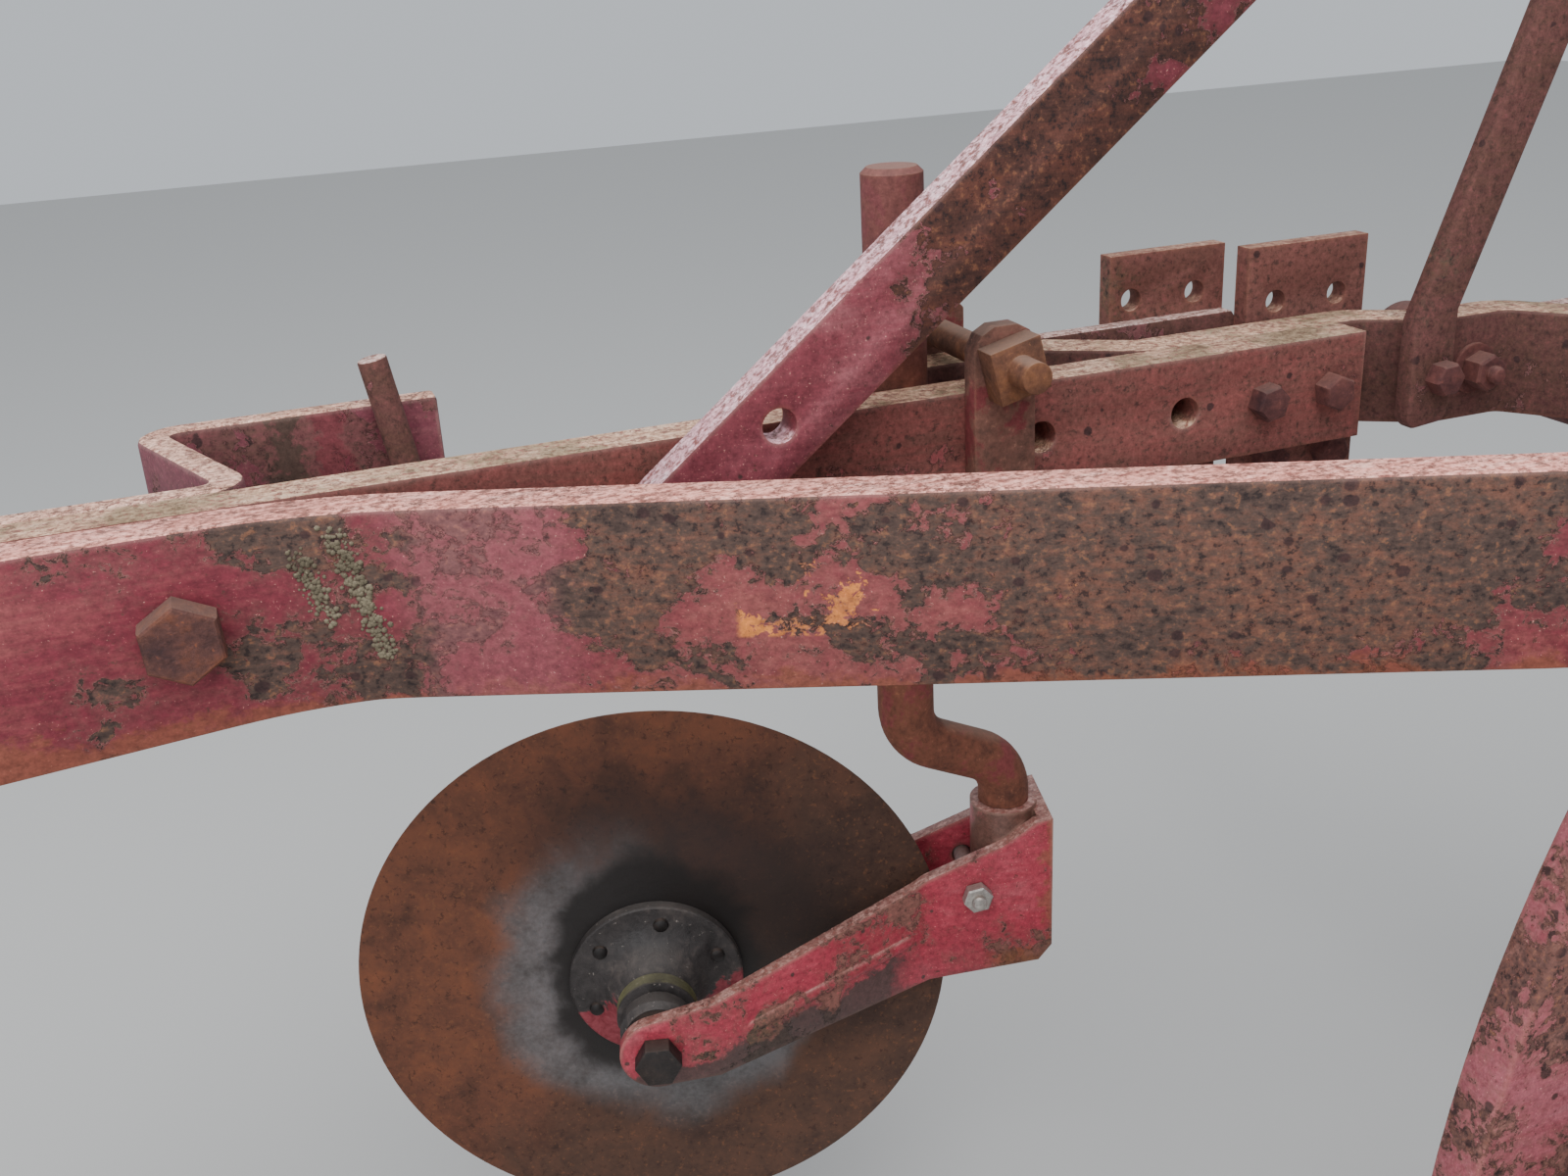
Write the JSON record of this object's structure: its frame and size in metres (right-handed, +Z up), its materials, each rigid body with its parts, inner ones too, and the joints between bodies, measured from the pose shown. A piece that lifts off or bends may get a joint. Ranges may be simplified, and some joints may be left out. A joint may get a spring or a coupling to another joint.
{
  "type": "mounted moldboard plough",
  "caption": "Tractor-mounted moldboard plough with swivelling disc coulters on a flat-bar frame, worn red paint over rust.",
  "frame": {"origin": "on the ground plane under the centre of the whole box; the shares and landsides rest on z = 0", "axes": "+X forward along the direction of travel, +Y to the left, +Z up"},
  "size_m": [1.8288, 1.0756, 1.063],
  "materials": {
    "frame_paint": "flaked, faded and rusty",
    "yoke_paint": "glossier, worn to bare metal on its edges",
    "hub_paint": "mostly rusted through",
    "rusty_disc": "evenly rusted, blue-grey towards the hub",
    "rusty_fittings": "rusted",
    "worn_steel": "earth-polished, then rusted"
  },
  "bodies": {
    "frame": {"right_beam": "frame_paint", "main_beam": "frame_paint", "front_beam": "frame_paint", "cross_beam": "frame_paint", "hitch_arm": "frame_paint", "clamp_plate_rear": "frame_paint", "clamp_plate_front": "frame_paint", "rear_brace": "frame_paint", "brace_packer": "frame_paint", "mast_leg_left": "frame_paint", "mast_leg_right": "frame_paint", "mast_ear_left": "frame_paint", "mast_ear_right": "frame_paint", "mast_spacers": "rusty_fittings", "cross_shaft": "rusty_fittings", "shaft_bracket_left": "frame_paint", "shaft_bracket_right": "frame_paint", "rear_bracket": "frame_paint", "bracket_doubler": "frame_paint", "bracket_pin": "frame_paint", "rear_clamp": "rusty_fittings", "rear_clamp_bolts": "rusty_fittings", "front_clamp": "rusty_fittings", "front_clamp_bolts": "rusty_fittings", "rear_stem": "frame_paint", "front_stem": "frame_paint", "rear_frog": "frame_paint", "front_frog": "frame_paint", "rear_moldboard": "worn_steel", "front_moldboard": "worn_steel", "rear_share": "worn_steel", "front_share": "worn_steel", "rear_landside": "worn_steel", "front_landside": "worn_steel", "rear_stay": "frame_paint", "front_stay": "frame_paint"},
    "rear_swivel": {"rear_yoke": "yoke_paint", "rear_axle": "rusty_fittings"},
    "front_swivel": {"front_yoke": "yoke_paint", "front_axle": "rusty_fittings"},
    "rear_wheel": {"rear_hub": "hub_paint", "rear_disc": "rusty_disc"},
    "front_wheel": {"front_hub": "hub_paint", "front_disc": "rusty_disc"}
  },
  "joints": [
    {"name": "rear_coulter_swivel", "type": "hinge", "parent": "frame", "child": "rear_swivel", "pos_m": [0.0542, 0.17125, 0.335], "axis": [0, 0, 1], "range_deg": [-10, 40]},
    {"name": "rear_disc_spin", "type": "hinge", "parent": "rear_swivel", "child": "rear_wheel", "pos_m": [-0.15541, 0.22741, 0.272], "axis": [0.2588, 0.9659, 0], "continuous": true},
    {"name": "front_coulter_swivel", "type": "hinge", "parent": "frame", "child": "front_swivel", "pos_m": [0.8842, -0.07875, 0.335], "axis": [0, 0, 1], "range_deg": [-10, 40]},
    {"name": "front_disc_spin", "type": "hinge", "parent": "front_swivel", "child": "front_wheel", "pos_m": [0.67459, -0.02259, 0.272], "axis": [0.2588, 0.9659, 0], "continuous": true}
  ]
}
